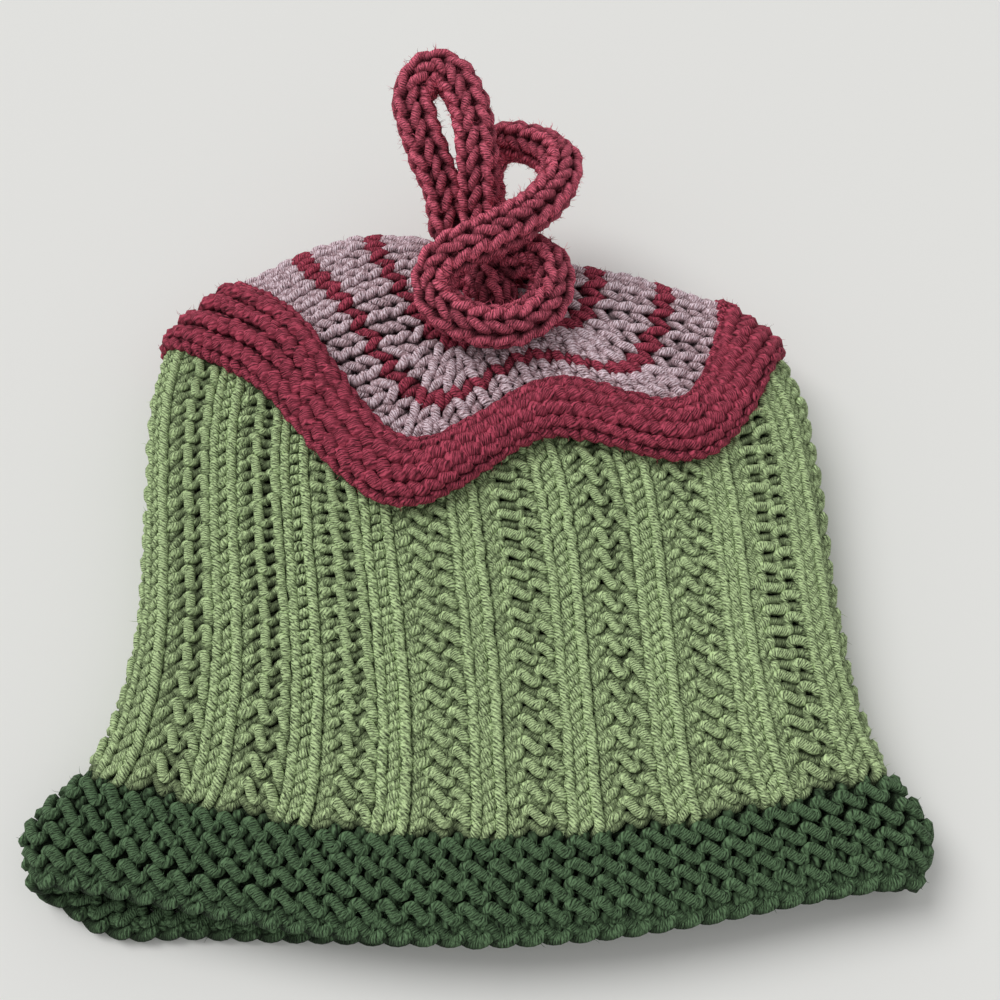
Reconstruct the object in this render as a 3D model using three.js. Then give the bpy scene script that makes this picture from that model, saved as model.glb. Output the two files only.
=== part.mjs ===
/*
 * Knot beanie: a hand-knitted hat for a small child.  It lies flat on its back layer, with
 * the open brim toward -Y and the crown folded over toward +Y.
 *
 * The hat is one soft tube of knitting, built here as the pieces it shows: a brim, a
 * ribbed body, a rolled welt and a five-sided crown, with a topknot of knitted cord sewn to
 * its top in loops.  Each wall is as thick as the knitted fabric, and the inside is hollow
 * and open at the brim.
 *
 * Each piece starts as the middle surface of its fabric: a grid of points with one closed
 * ring of points for each step up the hat.  clothe() gives that surface its thickness.
 *
 * Millimetres, +Z up.  The hat rests on z = 0, with the origin under its middle.
 */
import * as THREE from "three";

// ---------------------------------------------------------------- driving dimensions
const WALES = 72; // columns of stitches once round the hat
const COLUMNS = 60; // columns of the mesh once round the hat
const WALL = 4.4; // thickness of the knitted fabric
const HALF_WALL = WALL / 2;
const GAP = 0.3; // clear gap between neighbouring pieces

const BRIM_TOP = 27; // knitted height of the brim
const BRIM_STEPS = 5;
const BODY_STEPS = 9;
const WELT_STEPS = 8;
const CROWN_STEPS = 8;

const WELT_RISE = 7.5; // height of the welt's roll over the fabric it joins
const WELT_LEAN = 2.7; // how far the roll leans out past its own two feet
const WELT_FOOT = 2.7; // clearance of the roll's feet from that fabric
const WELT_COVER = 2; // how far the body runs on below the roll
const CROWN_END = 0.93; // share of the way to its apex at which the crown's grid ends

const CORD_RADIUS = 6; // knitted cord of the topknot
const CORD_SIDES = 10;
const CORD_STEP = 4; // about this long, each step along a cord

// Closed rings up the tube, by the knitted height above the cast-on edge ("up").
//   fold        y of the two side folds, where front layer turns into back layer
//   front, back y of each layer at its middle; layers bow toward the brim from fold to fold
//   blunt       how squarely that bow runs: 1 is a plain curve, more keeps to the middle
//   skew        how far the back layer's bow swings toward the left of its middle
//   halfWidth   from the middle to a side fold
//   depth       from the middle surface of the back layer up to that of the front layer
//   under       height of the back layer's middle surface
//   arch        how much the front layer swells at its middle
//   shift       x of the ring's middle
const RINGS = [
  {
    up: 0, fold: -103, front: -117, back: -115, blunt: 1.6, skew: 16,
    halfWidth: 110, depth: 11, under: 2.2, arch: 1.5, shift: 0,
  },
  {
    up: 13, fold: -90, front: -105, back: -103, blunt: 1.3, skew: 12,
    halfWidth: 113, depth: 13, under: 2.2, arch: 2, shift: 0.5,
  },
  {
    up: 27, fold: -76, front: -93, back: -91, blunt: 1, skew: 7,
    halfWidth: 103, depth: 15, under: 2.2, arch: 2.5, shift: 2.5,
  },
  {
    up: 38, fold: -63, front: -83, back: -78, blunt: 1, skew: 2,
    halfWidth: 98, depth: 16, under: 2.2, arch: 3, shift: 3,
  },
  {
    up: 60, fold: -36, front: -62, back: -53, blunt: 1, skew: 0,
    halfWidth: 95, depth: 17, under: 2.2, arch: 3.5, shift: 3,
  },
  {
    up: 98, fold: 11, front: -24, back: -9, blunt: 1, skew: 0,
    halfWidth: 97, depth: 18, under: 3, arch: 3.5, shift: 1,
  },
  {
    up: 120, fold: 38, front: -2, back: 17, blunt: 1, skew: 0,
    halfWidth: 96, depth: 16.5, under: 7, arch: 3.5, shift: -1,
  },
  {
    up: 142, fold: 62, front: 20, back: 40, blunt: 1, skew: 0,
    halfWidth: 89, depth: 15, under: 9, arch: 3.5, shift: -4,
  },
];

// The welt and the edge of the crown, at the crown's five corners and the middles of its
// five sides, by columns of stitches ("wale") from the left fold over the front.
//   up          knitted height at which the welt leaves the body
//   x, y, z     the crown's edge, on the middle surface of its fabric
//   swell       y and z by which the crown swells halfway from that edge to the apex
const CORNERS = [
  { wale: 0, up: 135, x: -76, y: 75, z: 19, swellY: 12, swellZ: 3 },
  { wale: 7.2, up: 138, x: -56, y: 58, z: 25, swellY: 2, swellZ: 3 },
  { wale: 14.4, up: 115, x: -21, y: 12, z: 26, swellY: 0, swellZ: 3 },
  { wale: 21.6, up: 135, x: 21, y: 32, z: 26, swellY: 0, swellZ: 3 },
  { wale: 28.8, up: 117, x: 59, y: 27, z: 25, swellY: 0, swellZ: 3 },
  { wale: 36, up: 134, x: 76, y: 69, z: 16, swellY: 1, swellZ: 4 },
  { wale: 43.2, up: 131, x: 58, y: 66, z: 9, swellY: 9, swellZ: 0 },
  { wale: 50.4, up: 135, x: 18, y: 61, z: 8.5, swellY: 16, swellZ: -4 },
  { wale: 57.6, up: 128, x: -22, y: 54, z: 8.5, swellY: 23, swellZ: -6 },
  { wale: 64.8, up: 135, x: -58, y: 67, z: 9, swellY: 20, swellZ: -1 },
];
const APEX = new THREE.Vector3(1, 79, 26);

// Routes of the topknot's two cords.  The first stands up in a tall loop.
const LOOP_ROUTE = [
  { x: -10.8, y: 82, z: 34.5 },
  { x: -12.2, y: 87, z: 38 },
  { x: -13.8, y: 95.5, z: 44.5 },
  { x: -16.6, y: 102.5, z: 50.5 },
  { x: -19.5, y: 110.5, z: 56 },
  { x: -20.5, y: 117, z: 59.5 },
  { x: -18, y: 122.3, z: 61.7 },
  { x: -13, y: 124.8, z: 62.9 },
  { x: -8, y: 122, z: 62.7 },
  { x: -4, y: 115.5, z: 61 },
  { x: -1.4, y: 107, z: 57.5 },
  { x: 0, y: 99.5, z: 53 },
  { x: 0.3, y: 93, z: 47.5 },
  { x: 0.2, y: 87, z: 42 },
  { x: 0.3, y: 82, z: 36.8 },
  { x: 0.4, y: 79.5, z: 33.5 },
];

// The second leaves the back of the crown, makes a side loop, crosses the foot of the tall
// loop and ends in a ring that lies on the crown.
const CURL_ROUTE = [
  { x: 4.5, y: 88.5, z: 25.5 },
  { x: 3.5, y: 93.5, z: 29.5 },
  { x: 2, y: 99.5, z: 32.2 },
  { x: 1.2, y: 106, z: 34 },
  { x: 1.2, y: 112, z: 36 },
  { x: 3.6, y: 117, z: 38.2 },
  { x: 8.8, y: 118.6, z: 40.8 },
  { x: 15, y: 115.5, z: 43 },
  { x: 21, y: 109.8, z: 45 },
  { x: 24.3, y: 102, z: 46.8 },
  { x: 23.3, y: 93, z: 48.3 },
  { x: 19, y: 85, z: 49.5 },
  { x: 13.5, y: 78.2, z: 50.5 },
  { x: 7.5, y: 73.2, z: 51 },
  { x: 1.3, y: 69.4, z: 51 },
  { x: -4.7, y: 66.8, z: 50 },
  { x: -10.2, y: 64.6, z: 47.2 },
  { x: -13.2, y: 60.6, z: 43.7 },
  { x: -12.7, y: 56, z: 41.3 },
  { x: -9, y: 51.8, z: 40 },
  { x: -3, y: 48.8, z: 38.7 },
  { x: 4.5, y: 47.3, z: 38.1 },
  { x: 12, y: 49, z: 37.9 },
  { x: 17.3, y: 53.3, z: 37.9 },
  { x: 20.7, y: 59.5, z: 38 },
  { x: 21.3, y: 66.3, z: 38.6 },
  { x: 19.2, y: 71.6, z: 38.6 },
  { x: 14.5, y: 74.5, z: 38.4 },
  { x: 9.5, y: 73.6, z: 37.6 },
];

// Yarns: colour, and the matt finish of wool.
const YARNS = {
  darkGreen: { color: 0x2f4a31, roughness: 0.9, metalness: 0 },
  sageGreen: { color: 0x8ba673, roughness: 0.85, metalness: 0 },
  raspberry: { color: 0x7b3141, roughness: 0.9, metalness: 0 },
  lilac: { color: 0xa47e88, roughness: 0.88, metalness: 0 },
};

// ---------------------------------------------------------------- reading the tables
// Smooth value of one column of a table at a place between its rows.  With a period, the
// table goes round and its first row follows its last.
function valueAt(table, key, place, column, period = 0) {
  const rowAt = (index) => {
    if (!period) {
      return table[THREE.MathUtils.clamp(index, 0, table.length - 1)];
    }
    const turns = Math.floor(index / table.length);
    const row = table[index - turns * table.length];
    return { ...row, [key]: row[key] + turns * period };
  };
  const spot = period ? THREE.MathUtils.euclideanModulo(place, period) : place;
  let index = 0;
  while (index < table.length - (period ? 1 : 2) && table[index + 1][key] <= spot) {
    index += 1;
  }
  const rows = [-1, 0, 1, 2].map((step) => rowAt(index + step));
  const slope = (a, b) => (b[column] - a[column]) / (b[key] - a[key] || 1);
  const span = rows[2][key] - rows[1][key];
  const t = (spot - rows[1][key]) / span;
  const leave = slope(rows[0], rows[2]) * span;
  const arrive = slope(rows[1], rows[3]) * span;
  const rise = rows[2][column] - rows[1][column];
  const bend = leave + arrive - 2 * rise;
  return rows[1][column] + t * (leave + t * (3 * rise - 2 * leave - arrive + t * bend));
}

function ringAt(up) {
  const ring = {};
  for (const column of Object.keys(RINGS[0])) {
    ring[column] = valueAt(RINGS, "up", up, column);
  }
  return ring;
}

function cornerAt(wale) {
  const corner = {};
  for (const column of Object.keys(CORNERS[0])) {
    corner[column] = valueAt(CORNERS, "wale", wale, column, WALES);
  }
  return corner;
}

// ---------------------------------------------------------------- the tube of fabric
const ROUND_STEPS = 8; // points round a quarter turn of a side fold
const FLAT_STEPS = 24; // points across the flat of a layer

// One layer of a ring, from the left fold to the right fold, as a line of points.
function layerLine(ring, isFront) {
  const radius = ring.depth / 2;
  const flat = ring.halfWidth - radius;
  const places = [];
  for (let step = 0; step < ROUND_STEPS; step += 1) {
    const turn = (step / ROUND_STEPS) * (Math.PI / 2);
    places.push({ x: -flat - radius * Math.cos(turn), lift: Math.sin(turn) });
  }
  for (let step = 0; step <= FLAT_STEPS; step += 1) {
    places.push({ x: flat * ((2 * step) / FLAT_STEPS - 1), lift: 1 });
  }
  for (let step = ROUND_STEPS - 1; step >= 0; step -= 1) {
    const turn = (step / ROUND_STEPS) * (Math.PI / 2);
    places.push({ x: flat + radius * Math.cos(turn), lift: Math.sin(turn) });
  }
  return places.map(({ x, lift }) => {
    const out = x / ring.halfWidth;
    const middle = Math.max(1 - out * out, 0);
    const bow = (isFront ? ring.front : ring.back) - ring.fold;
    const swing = isFront ? 0 : ring.skew * out * middle;
    const swell = isFront ? lift * (radius + ring.arch * middle) : -lift * radius;
    return new THREE.Vector3(
      x + ring.shift,
      ring.fold + bow * middle ** ring.blunt + swing,
      ring.under + radius + swell,
    );
  });
}

// The point at a share of the length of a line of points.
function pointAlong(line, share) {
  const lengths = [0];
  for (let index = 1; index < line.length; index += 1) {
    lengths.push(lengths[index - 1] + line[index].distanceTo(line[index - 1]));
  }
  const wanted = share * lengths[lengths.length - 1];
  let index = 1;
  while (index < line.length - 1 && lengths[index] < wanted) {
    index += 1;
  }
  const part = (wanted - lengths[index - 1]) / (lengths[index] - lengths[index - 1]);
  return line[index - 1].clone().lerp(line[index], part);
}

// The tube's middle surface, at a wale and a knitted height.
function tubePoint(wale, up) {
  const turn = THREE.MathUtils.euclideanModulo(wale / WALES, 1);
  const isFront = turn < 0.5;
  const share = isFront ? turn * 2 : 2 - turn * 2;
  return pointAlong(layerLine(ringAt(up), isFront), share);
}

// ---------------------------------------------------------------- the crown
// The crown's middle surface: 0 at its edge, 1 at its apex.
function crownPoint(wale, share) {
  const corner = cornerAt(wale);
  const edge = new THREE.Vector3(corner.x, corner.y, corner.z);
  const bulge = Math.sin(Math.PI * Math.min(Math.max(share, 0), 1));
  const point = edge.lerp(APEX, share);
  point.y += corner.swellY * bulge;
  point.z += corner.swellZ * bulge;
  point.z = Math.max(point.z, HALF_WALL);
  return point;
}

// ---------------------------------------------------------------- thickness
// Outward direction of a surface, given as a function of wale and height, at one of its
// points, from the points "reach" up and down from it.
function outward(surface, wale, height, reach) {
  const round = surface(wale + 0.5, height).sub(surface(wale - 0.5, height));
  const along = surface(wale, height + reach).sub(surface(wale, height - reach));
  return round.cross(along).normalize();
}

// One closed body with a wall either side of a middle surface, which is a function of wale
// and of the share of the way from the lower edge to the upper one.  With an apex, the
// upper edge closes on it; without one, both ends are open rims.
function clothe(surface, steps, apex = null) {
  const middles = [];
  const normals = [];
  for (let step = 0; step <= steps; step += 1) {
    for (let column = 0; column < COLUMNS; column += 1) {
      const wale = (column / COLUMNS) * WALES;
      middles.push(surface(wale, step / steps));
      normals.push(outward(surface, wale, step / steps, 0.004));
    }
  }
  const points = [];
  const addSide = (side, order) => {
    for (const step of order) {
      for (let column = 0; column < COLUMNS; column += 1) {
        const index = step * COLUMNS + column;
        const point = middles[index].clone();
        point.addScaledVector(normals[index], side * HALF_WALL);
        point.z = Math.max(point.z, 0);
        points.push(point);
      }
    }
  };
  const upward = Array.from({ length: steps + 1 }, (_, step) => step);
  addSide(1, upward);
  addSide(-1, [...upward].reverse());

  // Facing rims of neighbouring pieces are split along the same diagonals, so they cannot
  // touch.
  const faces = [];
  const joinRings = (low, high) => {
    for (let column = 0; column < COLUMNS; column += 1) {
      const next = (column + 1) % COLUMNS;
      const a = low * COLUMNS + column;
      const b = low * COLUMNS + next;
      const c = high * COLUMNS + next;
      const d = high * COLUMNS + column;
      faces.push(...(high === 0 ? [a, b, d, b, c, d] : [a, b, c, a, c, d]));
    }
  };
  const closeRing = (ring, side) => {
    const pole = points.length;
    points.push(apex.point.clone().addScaledVector(apex.outward, side * HALF_WALL));
    for (let column = 0; column < COLUMNS; column += 1) {
      const a = ring * COLUMNS + column;
      const b = ring * COLUMNS + ((column + 1) % COLUMNS);
      faces.push(...(side > 0 ? [a, b, pole] : [b, a, pole]));
    }
  };
  const lastRing = 2 * steps + 1;
  for (let ring = 0; ring < lastRing; ring += 1) {
    if (!apex || ring !== steps) {
      joinRings(ring, ring + 1);
    }
  }
  joinRings(lastRing, 0);
  if (apex) {
    closeRing(steps, 1);
    closeRing(steps + 1, -1);
  }
  const geometry = new THREE.BufferGeometry().setFromPoints(points);
  geometry.setIndex(faces);
  geometry.computeVertexNormals();
  return geometry;
}

// ---------------------------------------------------------------- pieces
const lerp = THREE.MathUtils.lerp;

function makeBrim() {
  const top = BRIM_TOP - GAP / 2;
  return clothe((wale, share) => tubePoint(wale, top * share), BRIM_STEPS);
}

function makeBody() {
  const bottom = BRIM_TOP + GAP / 2;
  return clothe((wale, share) => {
    const top = cornerAt(wale).up + WELT_COVER;
    return tubePoint(wale, lerp(bottom, top, share));
  }, BODY_STEPS);
}

// The welt is an arch of fabric from the body's top edge to the crown's edge.
function makeWelt() {
  const stand = HALF_WALL + WELT_FOOT;
  const pull = (WELT_RISE - stand) / 0.75;
  return clothe((wale, share) => {
    const up = cornerAt(wale).up;
    const lowOut = outward(tubePoint, wale, up, 1);
    const highOut = outward(crownPoint, wale, 0, 0.02);
    const low = tubePoint(wale, up).addScaledVector(lowOut, stand);
    const high = crownPoint(wale, 0).addScaledVector(highOut, stand);
    const across = high.clone().sub(low).normalize();
    const lowPull = low.clone().addScaledVector(lowOut, pull);
    const highPull = high.clone().addScaledVector(highOut, pull);
    lowPull.addScaledVector(across, -WELT_LEAN);
    highPull.addScaledVector(across, WELT_LEAN);
    const arch = new THREE.CubicBezierCurve3(low, lowPull, highPull, high);
    const point = arch.getPoint(share);
    point.z = Math.max(point.z, HALF_WALL);
    return point;
  }, WELT_STEPS);
}

function makeCrown() {
  const outwardAtApex = new THREE.Vector3(0, 0.3, 1).normalize();
  return clothe(
    (wale, share) => crownPoint(wale, CROWN_END * share),
    CROWN_STEPS,
    { point: APEX, outward: outwardAtApex },
  );
}

// One knitted cord along its route.
function makeCord(route) {
  const section = new THREE.Shape();
  section.absarc(0, 0, CORD_RADIUS, 0, 2 * Math.PI);
  const path = new THREE.CatmullRomCurve3(route.map(({ x, y, z }) => new THREE.Vector3(x, y, z)));
  return new THREE.ExtrudeGeometry(section, {
    steps: Math.round(path.getLength() / CORD_STEP),
    curveSegments: CORD_SIDES / 2,
    bevelEnabled: false,
    extrudePath: path,
  });
}

// ---------------------------------------------------------------- assembly
const PIECES = [
  { name: "brim", make: makeBrim, yarn: YARNS.darkGreen },
  { name: "body", make: makeBody, yarn: YARNS.sageGreen },
  { name: "welt", make: makeWelt, yarn: YARNS.raspberry },
  { name: "crown", make: makeCrown, yarn: YARNS.lilac },
  { name: "topknot_loop", make: () => makeCord(LOOP_ROUTE), yarn: YARNS.raspberry },
  { name: "topknot_curl", make: () => makeCord(CURL_ROUTE), yarn: YARNS.raspberry },
];

const hat = new THREE.Group();
for (const { name, make, yarn } of PIECES) {
  const mesh = new THREE.Mesh(make(), new THREE.MeshStandardMaterial(yarn));
  mesh.name = name;
  hat.add(mesh);
}

// The origin is at the bottom centre of the whole hat.
const box = new THREE.Box3().setFromObject(hat);
const middle = box.getCenter(new THREE.Vector3());
hat.position.set(-middle.x, -middle.y, -box.min.z);

export default hat;
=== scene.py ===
"""Knot beanie: a child's hat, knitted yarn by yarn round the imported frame.

Every round of knitting is one long strand of yarn, laid on the middle surface of its piece
in one of two ways.  A smooth round is a course of loops, whose feet and heads go behind
the fabric and whose legs stand in front of it.  A ridge, as in garter stitch and on the
purl side, is a strand that climbs behind, goes over the top and falls in front once for
each stitch.  Loose fibres stand out of both.  Millimetres are used up to the last step,
which scales each mesh to metres.
"""
import math

import bpy
import numpy as np
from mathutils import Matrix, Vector


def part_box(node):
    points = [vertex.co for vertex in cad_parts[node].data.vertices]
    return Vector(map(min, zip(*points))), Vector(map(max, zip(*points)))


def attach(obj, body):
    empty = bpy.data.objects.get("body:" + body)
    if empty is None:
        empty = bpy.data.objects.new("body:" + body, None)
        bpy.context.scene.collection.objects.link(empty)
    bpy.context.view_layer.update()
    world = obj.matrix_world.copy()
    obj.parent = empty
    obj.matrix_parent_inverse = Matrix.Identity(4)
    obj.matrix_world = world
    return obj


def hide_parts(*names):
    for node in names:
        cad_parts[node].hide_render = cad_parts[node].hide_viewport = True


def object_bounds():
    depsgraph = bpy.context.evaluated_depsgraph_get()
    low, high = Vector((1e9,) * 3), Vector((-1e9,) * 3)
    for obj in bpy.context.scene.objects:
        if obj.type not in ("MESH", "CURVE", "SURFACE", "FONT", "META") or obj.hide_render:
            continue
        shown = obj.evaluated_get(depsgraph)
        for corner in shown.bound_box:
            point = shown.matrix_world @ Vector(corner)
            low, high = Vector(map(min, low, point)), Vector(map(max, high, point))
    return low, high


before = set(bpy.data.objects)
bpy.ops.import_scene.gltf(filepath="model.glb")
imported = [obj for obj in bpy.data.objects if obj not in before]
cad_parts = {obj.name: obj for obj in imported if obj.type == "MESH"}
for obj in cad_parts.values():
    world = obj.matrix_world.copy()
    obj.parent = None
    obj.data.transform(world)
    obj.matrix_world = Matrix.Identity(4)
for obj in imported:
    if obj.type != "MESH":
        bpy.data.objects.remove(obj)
CAD_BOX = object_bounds()

bl_info = {
    "name": "Knot Beanie",
    "version": (1, 0, 0),
    "blender": (4, 5, 0),
    "location": "3D View > Sidebar > Knot Beanie",
    "description": "Knits a child's beanie strand by strand, with a topknot of knitted cord",
    "category": "Add Mesh",
}

MM = 0.001  # metres in a millimetre
BODY = "root"  # the frame's one body

# ---------------------------------------------------------------- shape of the hat
WALES = 72  # columns of stitches once round the hat
WALL = 4.4  # thickness of the frame's walls
HALF_WALL = WALL / 2
BRIM_TOP = 27  # knitted height of the brim
MOUTH_DEPTH = 16  # how far up from the edge the mouth's own shape reaches
MOUTH = ((-92, 14, 5), (-40, 30, -3))  # where the lower layer hangs down: x, width, drop
WELT_RISE = 7.5  # height of the welt's roll over the fabric it joins
WELT_PRESSED = 3.2  # how much lower the roll is where the hat is folded at its sides
WELT_SLIP = 1.8  # how far it slips down towards the brim there
WELT_LEAN = 2.7  # how far the roll leans out past its own two feet
WELT_FOOT = 2.7  # clearance of the roll's feet from that fabric
WELT_COVER = 2  # how far the body runs on below the roll
ARCH_RISE = 0.75  # how high a cubic arch rises, as a share of its pull
ORIGIN = np.array([-0.32, -6.51, 0])  # from the tables' origin to the frame's
TABLE_SLACK = 1.5  # how far the tables' brim may lie from the frame's

# Closed rings up the tube of fabric, by the knitted height above the cast-on edge.
RING_COLUMNS = ("up", "fold", "front", "back", "blunt", "skew", "half_width", "depth",
                "under", "arch", "shift")
RINGS = np.array([
    (0, -103, -117, -115, 1.6, 16, 110, 11, 2.2, 1.5, 0),
    (13, -90, -105, -103, 1.3, 12, 113, 13, 2.2, 2, 0.5),
    (27, -76, -93, -91, 1, 7, 103, 15, 2.2, 2.5, 2.5),
    (38, -63, -83, -78, 1, 2, 98, 16, 2.2, 3, 3),
    (60, -36, -62, -53, 1, 0, 95, 17, 2.2, 3.5, 3),
    (98, 11, -24, -9, 1, 0, 97, 18, 3, 3.5, 1),
    (120, 38, -2, 17, 1, 0, 96, 16.5, 7, 3.5, -1),
    (142, 62, 20, 40, 1, 0, 89, 15, 9, 3.5, -4),
])

# The welt and the crown's edge, at the crown's five corners and five sides.
CORNER_COLUMNS = ("wale", "up", "x", "y", "z", "swell_y", "swell_z")
CORNERS = np.array([
    (0, 135, -76, 75, 19, 12, 3),
    (7.2, 138, -56, 58, 25, 2, 3),
    (14.4, 115, -21, 12, 26, 0, 3),
    (21.6, 135, 21, 32, 26, 0, 3),
    (28.8, 117, 59, 27, 25, 0, 3),
    (36, 134, 76, 69, 16, 1, 4),
    (43.2, 131, 58, 66, 9, 9, 0),
    (50.4, 135, 18, 61, 8.5, 16, -4),
    (57.6, 128, -22, 54, 8.5, 23, -6),
    (64.8, 135, -58, 67, 9, 20, -1),
])
APEX = np.array([1, 79, 26])

# Routes of the topknot's two cords.
LOOP_ROUTE = np.array([
    (-9.2, 82, 34.5), (-9.7, 87, 38), (-11.6, 95.5, 44.5), (-15.4, 102.5, 50.5),
    (-19, 110.5, 56), (-20.5, 117, 59.5), (-18, 122.3, 61.7), (-13, 124.8, 62.9),
    (-8, 122, 62.7), (-4, 115.5, 61), (-1.6, 107, 57.5), (-0.8, 99.5, 53), (-0.5, 93, 47.5),
    (-0.2, 87, 42), (0.3, 82, 36.8), (0.4, 79.5, 33.5),
])
CURL_ROUTE = np.array([
    (4.5, 88.5, 25.5), (3.5, 93.5, 29.5), (2, 99.5, 32.2), (1.2, 106, 34), (1.2, 112, 36),
    (3.6, 117, 38.2), (8.8, 118.6, 40.8), (15, 115.5, 43), (21, 109.8, 45),
    (24.3, 102, 46.8), (23.3, 93, 48.3), (19, 85, 49.5), (13.5, 78.2, 50.5),
    (7.5, 73.2, 51), (1.3, 69.4, 51), (-4.7, 66.8, 50), (-10.2, 64.6, 47.2),
    (-13.2, 60.6, 43.7), (-12.7, 56, 41.3), (-9, 51.8, 40), (-3, 48.8, 38.7),
    (4.5, 47.3, 38.1), (12, 49, 37.9), (17.3, 53.3, 37.9), (20.7, 59.5, 38),
    (21.3, 66.3, 38.6), (19.2, 71.6, 38.6), (14.5, 74.5, 38.4), (9.5, 73.6, 37.6),
    (5.6, 70.4, 36.3), (4.2, 66, 34.6),
])

# The stub that joins the cords to the crown, inside the curl's ring.
FOOT_ROUTE = np.array([
    (0.5, 84, 28), (1, 78, 31), (2, 72, 32.5), (3.5, 66, 33), (5, 60, 32.5), (6, 56, 30),
])

# ---------------------------------------------------------------- the knitting
KNIT, PURL = 1, -1
POINTS_A_LOOP = 14  # points along the yarn of one stitch
YARN_SIDES = 6  # sides of the yarn's section
COLUMNS_A_STITCH, ROWS_A_ROUND = 2, 4  # how finely the middle surfaces are sampled
FEWEST_COLUMNS = 40  # of those samples, round a thin cord

CAST_ON = 0.9  # knitted height of the edge where the first round starts
CAST_ON_POINTS = 10  # points along the yarn of one stitch of that edge
# How that yarn turns round the edge: how far it leans along it, in stitches, its middle and
# its climb in rounds, and its middle and its reach off the fabric in millimetres.
EDGE_TURN = (0.2, -0.1, 0.34, 0.2, 1.2)
BRIM_ROUNDS = 9
BRIM_JOIN = 0.5  # rounds left free for the body's first one
BRIM_SHIFT = 0.25  # how far its ridges lie to one side and the other in turn, in stitches
EDGE_ROW = 0.45  # where the brim's first, half hidden ridge lies, in rounds
BODY_ROUNDS = 36
BODY_ROUND = 2.85  # height that a loop of the body is made for
BODY_STRETCHES = {"body_wool_lower": (0, 12), "body_wool_middle": (12, 24),
                  "body_wool_upper": (24, BODY_ROUNDS)}
RIB, PANEL = 2, 2  # columns of knit, then of garter stitch
BODY_DRIFT = (1.35, -0.8)  # stitches that the ribs are turned by at the brim, and more above
RIB_RELIEF = 0.35  # how far the ribs stand proud and the garter between them lies back
RIB_MIDDLE = 1.1  # where the ribs stand highest, in stitches
WELT_ROUNDS = 6
WELT_ROUND = 4  # height that a ridge of the welt is made for
WELT_WALES = 108  # bumps once round the welt
WELT_POINTS = 12  # points along the yarn of one bump
WELT_FILL = 1.12  # thickness of the welt's yarns, which spread to fill it, in their spacing
WELT_SPREAD = (1, 1.6)  # least and most that a yarn spreads
LINING_POINTS = 2  # points a bump of the plain yarns that line the welt
LINING_STAND = -0.6  # how far those lie out of the welt's middle surface
CROWN_ROUNDS = 14
CROWN_ROUND = 4.8  # height that a loop of the crown is made for
CROWN_STRIPES = (3, 7)  # rounds in raspberry
CROWN_TOP = 10  # the last lilac round: the top is raspberry like the topknot
CROWN_SIDES = 5
CROWN_A_SIDE = 13  # stitches of its first round on each side
CROWN_CORNER = (0.4, 2)  # stitches from a corner over which its loops start to narrow
CROWN_NARROWEST = 0.6  # of a loop's width
# The rounds between which each flat piece's middle surface is sampled.
BRIM_SPAN = (-1.5, BRIM_ROUNDS + 1)
BODY_SPAN = (-1.5, BODY_ROUNDS + 1.5)
CROWN_SPAN = (-0.5, CROWN_ROUNDS - 0.2)
CORD_STITCHES = 4  # stitches once round the topknot's cord
CORD_ROUND = 5.2  # knitted height of one round of that cord
CORD_MIDDLE = 4.5  # radius of the cord's middle surface
CORD_SAMPLES = 40  # samples for each point of a cord's route, to measure it by
CORD_STEPS = 400  # points along the cord's middle line
CORD_HEM = 0.7  # how far from the cord's ends its stitches start and stop, in rounds
CORE_POINTS = 12  # points of the core for each point of its route
CORD_CORE = 3  # radius of a core of yarn inside the cord, put there for the shade in its gaps and painted darker as wool that lies deep

# How a loop of knit lies: how far its neck draws in and its head opens, in stitches, how
# much taller than its round it is, about one yarn, how far its feet and head go behind and
# its legs in front, and how far its falling flank stands before its rising one, in
# millimetres.  Then how far its head leans on along the round, in stitches.
LOOP_SWING = 0.22
LOOP_OVERLAP = 2.7
LOOP_REACH = 1.2
LOOP_TILT = -0.35
BODY_LEAN, CROWN_LEAN, CORD_LEAN = 0.2, 0.08, 0.03
LOOP_SQUARE = 1.6  # how squarely it turns from behind to in front, 0 for a plain wave
LOWER_HALF = (0.38, 0.62)  # where its lower half begins and has begun, from head to foot
FOOT_ENDS = (0.7, 1)  # the stretch at its foot that is drawn towards the next stitch's
FOOT_DRAWN = 0.5  # how far: half-way
CORD_REACH = 0.8  # reach of the cord's loops, in that of a flat fabric's

# A ridge of garter stitch, as the one line of yarn that shows in it: how far it climbs above
# and below the ridge's middle, its middle's place off the fabric and how far it stands in
# front of and behind that place, in millimetres; how far its falling flank, in front, is
# stretched along the round; and the share of a stitch over which its rising flank dives
# behind.
BRIM_RIDGE = (1.65, 0.4, 1.2, 0.5, 0.08)
EDGE_RIDGE = (1.3, -0.2, 0.7, 0.3, 0.08)
BODY_RIDGE = (1.85, 0.75, 1.0, 0.3, 0.08)
WELT_RIDGE = (0.55, 0.15, 0.9, 0.55, 0.1)
PANEL_BACK = (0.6, 0.25)  # climb and stand of the rows behind the body's ridges, in theirs

# How uneven the hand and the spinning are, as standard deviations: each stitch's place
# along, up and out, and the yarn's radius.
HAND_ALONG = 0.035  # of a stitch
HAND_UP = 0.055  # of a round
HAND_OUT = 0.18  # millimetres
SPUN = 0.035  # of the radius
SPUN_STEPS = 9  # points of a strand between one thickness and the next

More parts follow.
